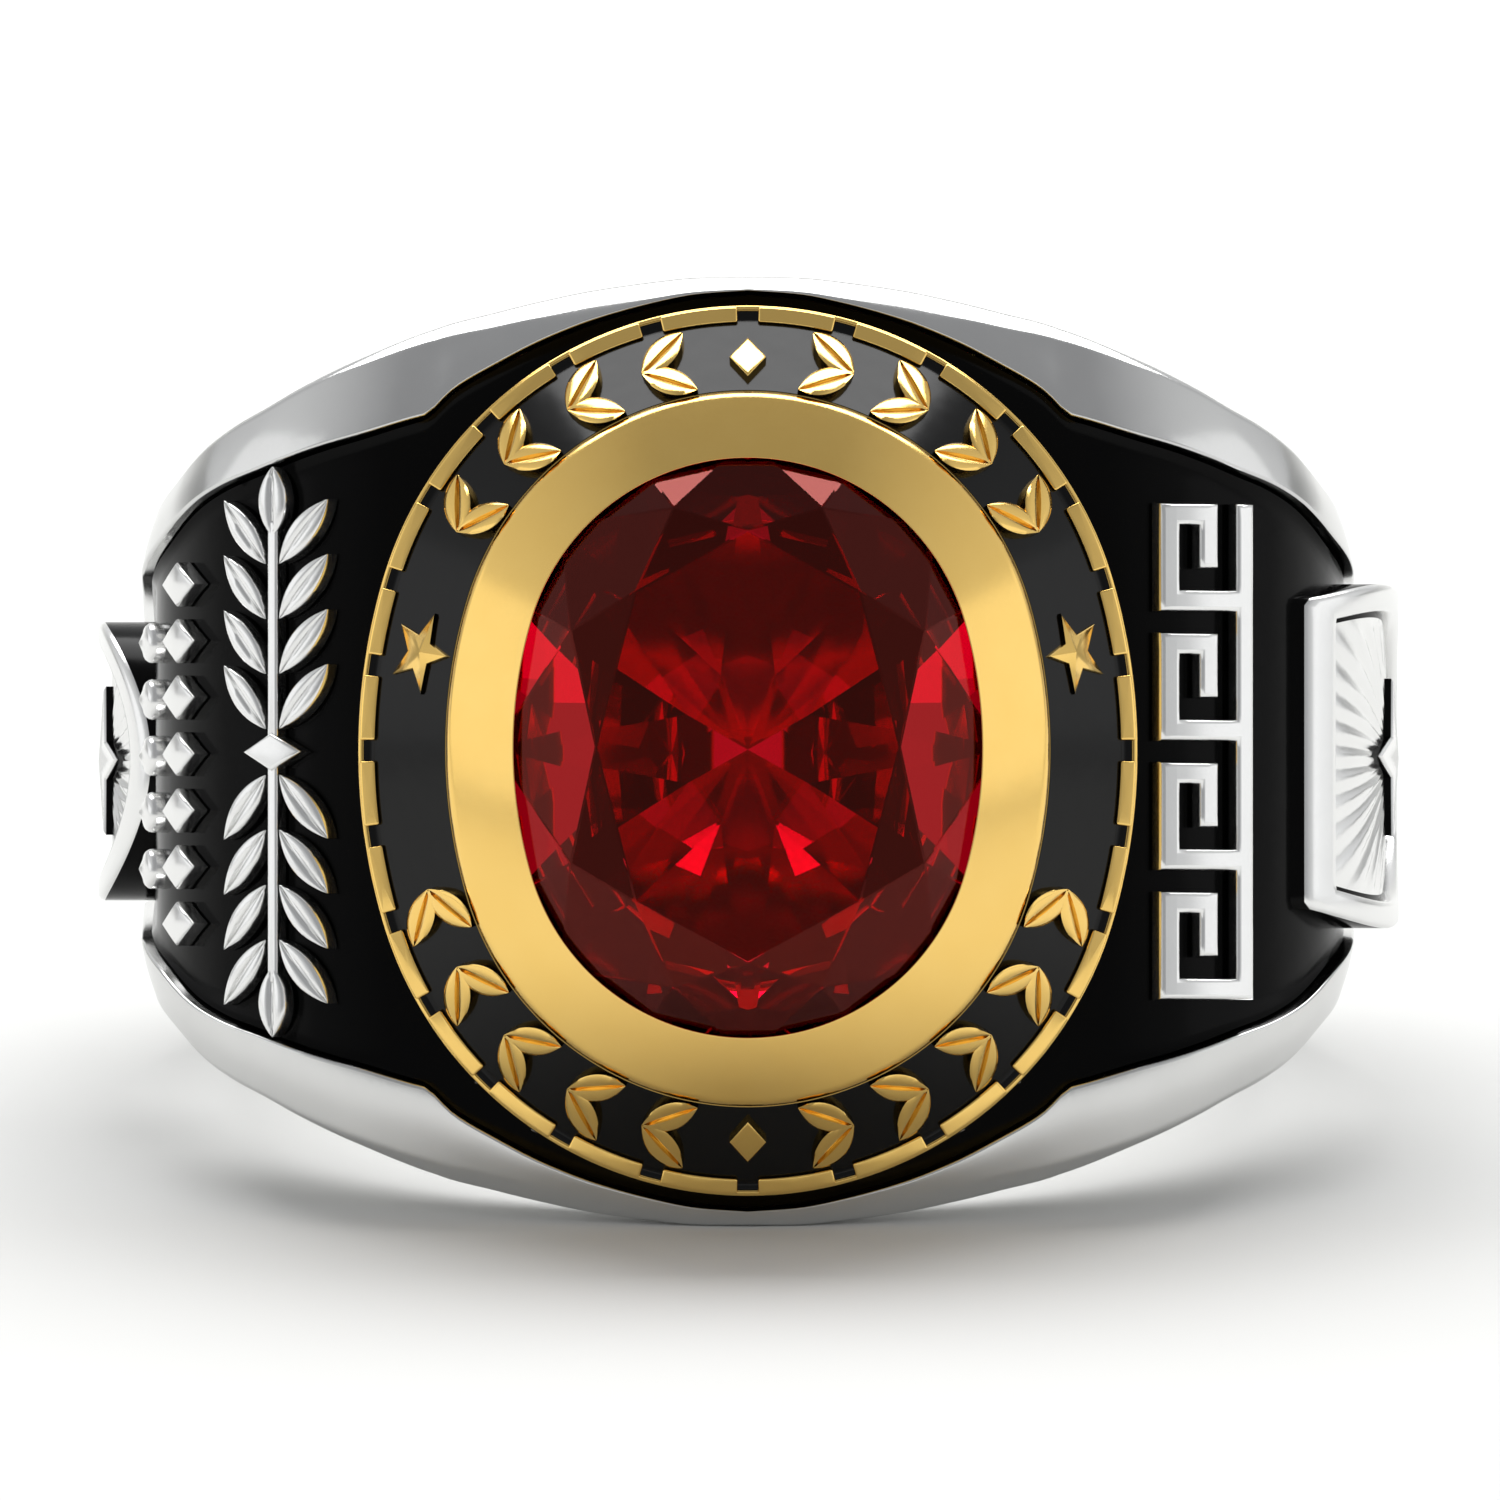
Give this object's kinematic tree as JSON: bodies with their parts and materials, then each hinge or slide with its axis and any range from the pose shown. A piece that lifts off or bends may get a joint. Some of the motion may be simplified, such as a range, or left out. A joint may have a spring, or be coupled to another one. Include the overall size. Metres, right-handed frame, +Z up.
{
  "type": "class ring",
  "caption": "Two-tone class ring: silver band with relief side panels, gold crown with a notched rim and sloping channel, and a dark red oval faceted stone",
  "frame": {"origin": "bottom centre of the bounding box of the ring as it lies on its side, in the middle under it", "axes": "X across the finger, from one side panel to the other; Y level, -Y towards the stone; Z up from the surface that it lies on. The finger hole's axis leans from Z towards +Y by the ring's resting tilt"},
  "size_m": [0.0242, 0.0272, 0.0171],
  "materials": {
    "silver": "polished silver, high spots bright and recesses blackened",
    "black_enamel": "glossy black enamel",
    "gold": "polished yellow gold",
    "red_stone": "transparent dark red, polished facets"
  },
  "bodies": {
    "root": {"shank": "silver", "enamel": "black_enamel", "crown": "gold", "channel_enamel": "black_enamel", "stone": "red_stone"}
  },
  "joints": []
}
